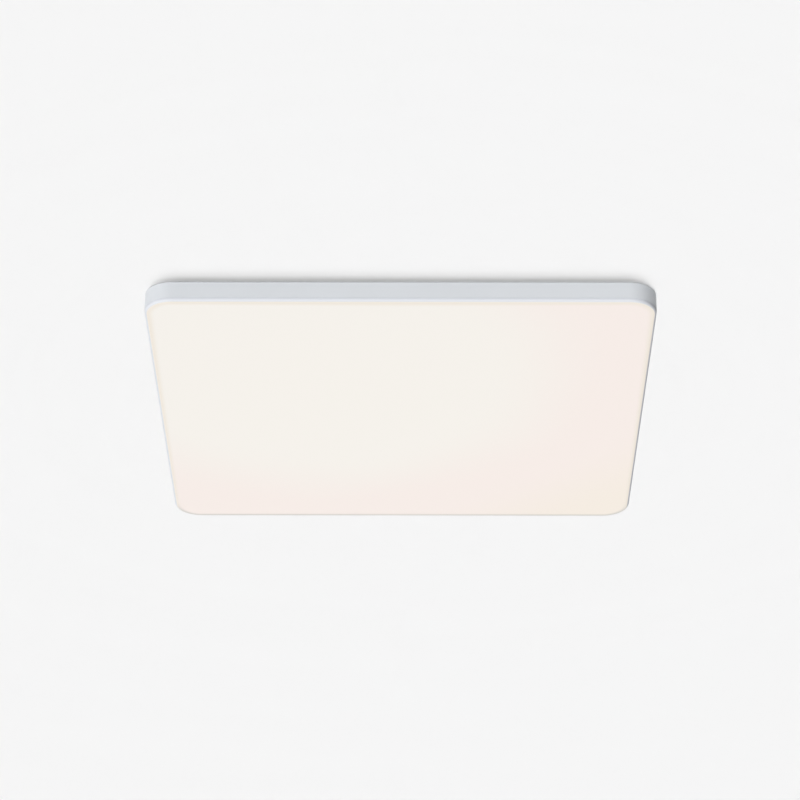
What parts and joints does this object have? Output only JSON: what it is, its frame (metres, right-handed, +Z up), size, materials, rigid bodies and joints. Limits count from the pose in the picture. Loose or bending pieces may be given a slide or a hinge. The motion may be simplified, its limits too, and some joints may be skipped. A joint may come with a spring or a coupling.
{
  "type": "recessed led panel light",
  "caption": "Square recessed LED panel light: slim white tray, full-face opal diffuser, sliding sprung clips and a driver with a hinged terminal cover on its back.",
  "frame": {"origin": "centre of the rim that seats against the ceiling, level with the ceiling's underside", "axes": "+Z up into the ceiling, +X along the travel of the right clip, +Y from the front of the panel to the end with the cable inlet"},
  "size_m": [0.225, 0.225, 0.0311],
  "materials": {
    "white_coat": "matte",
    "opal": "satin",
    "clear_acrylic": "gloss",
    "white_film": "matte",
    "foam": "matte",
    "wire_grey": "satin",
    "wire_brown": "satin",
    "black_rubber": "matte",
    "zinc_steel": "satin",
    "spring_steel": "satin",
    "case_plastic": "matte",
    "circuit_board": "satin",
    "ferrite": "matte",
    "winding_tape": "satin",
    "capacitor_sleeve": "gloss",
    "black_plastic": "matte",
    "terminal_plastic": "satin",
    "brass": "satin",
    "led_board": "satin",
    "led_phosphor": "satin"
  },
  "bodies": {
    "panel": {"housing": "white_coat", "diffuser": "opal", "light_guide": "clear_acrylic", "reflector_sheet": "white_film", "foam_pad": "foam", "ceiling_seal": "foam", "strip_jumpers": "wire_grey", "output_leads": "wire_grey", "lead_grommet": "black_rubber", "rail_screws": "zinc_steel", "driver_base": "case_plastic", "driver_case": "case_plastic", "driver_case_screws": "zinc_steel", "driver_board": "circuit_board", "transformer_core": "ferrite", "transformer_winding": "winding_tape", "capacitors": "capacitor_sleeve", "line_choke": "ferrite", "film_capacitor": "winding_tape", "driver_chips": "black_plastic", "terminal_block": "terminal_plastic", "terminal_clamps": "brass", "terminal_screws": "brass", "input_leads": "wire_brown", "cover_hinge_pin": "zinc_steel", "cable_grommet": "black_rubber", "led_strip_front": "led_board", "leds_front": "led_phosphor", "led_strip_right": "led_board", "leds_right": "led_phosphor", "led_strip_rear": "led_board", "leds_rear": "led_phosphor", "led_strip_left": "led_board", "leds_left": "led_phosphor", "rail_plate_left": "zinc_steel", "rail_plate_right": "zinc_steel"},
    "terminal_lid": {"terminal_cover": "case_plastic"},
    "left_carriage": {"clip_bracket_left": "zinc_steel", "clip_nut_left": "zinc_steel", "clip_pin_left": "zinc_steel", "clip_spring_left": "spring_steel"},
    "left_arm": {"clip_arm_left": "zinc_steel", "clip_pad_left": "black_rubber"},
    "left_thumb_screw": {"thumb_stud_left": "zinc_steel", "thumb_knob_left": "black_plastic"},
    "right_carriage": {"clip_bracket_right": "zinc_steel", "clip_nut_right": "zinc_steel", "clip_pin_right": "zinc_steel", "clip_spring_right": "spring_steel"},
    "right_arm": {"clip_arm_right": "zinc_steel", "clip_pad_right": "black_rubber"},
    "right_thumb_screw": {"thumb_stud_right": "zinc_steel", "thumb_knob_right": "black_plastic"}
  },
  "joints": [
    {"name": "terminal_cover_hinge", "type": "hinge", "parent": "panel", "child": "terminal_lid", "pos_m": [0, 0.023, 0.01965], "axis": [1, 0, 0], "range_deg": [0, 105]},
    {"name": "left_clip_slide", "type": "slide", "parent": "panel", "child": "left_carriage", "axis": [-1, 0, 0], "range_m": [-0.022, 0.022]},
    {"name": "left_arm_fold", "type": "hinge", "parent": "left_carriage", "child": "left_arm", "pos_m": [-0.072, 0, 0.011], "axis": [0, 1, 0], "range_deg": [0, 100], "stiffness_Nm_per_rad": 0.12, "springref_deg": -57.3, "deforming": ["clip_spring_left"]},
    {"name": "left_thumb_turn", "type": "hinge", "parent": "left_carriage", "child": "left_thumb_screw", "pos_m": [-0.0575, 0, 0], "axis": [0, 0, 1], "range_deg": [0, 270]},
    {"name": "right_clip_slide", "type": "slide", "parent": "panel", "child": "right_carriage", "axis": [1, 0, 0], "range_m": [-0.022, 0.022]},
    {"name": "right_arm_fold", "type": "hinge", "parent": "right_carriage", "child": "right_arm", "pos_m": [0.072, 0, 0.011], "axis": [0, -1, 0], "range_deg": [0, 100], "stiffness_Nm_per_rad": 0.12, "springref_deg": -57.3, "deforming": ["clip_spring_right"]},
    {"name": "right_thumb_turn", "type": "hinge", "parent": "right_carriage", "child": "right_thumb_screw", "pos_m": [0.0575, 0, 0], "axis": [0, 0, 1], "range_deg": [0, 270]}
  ]
}
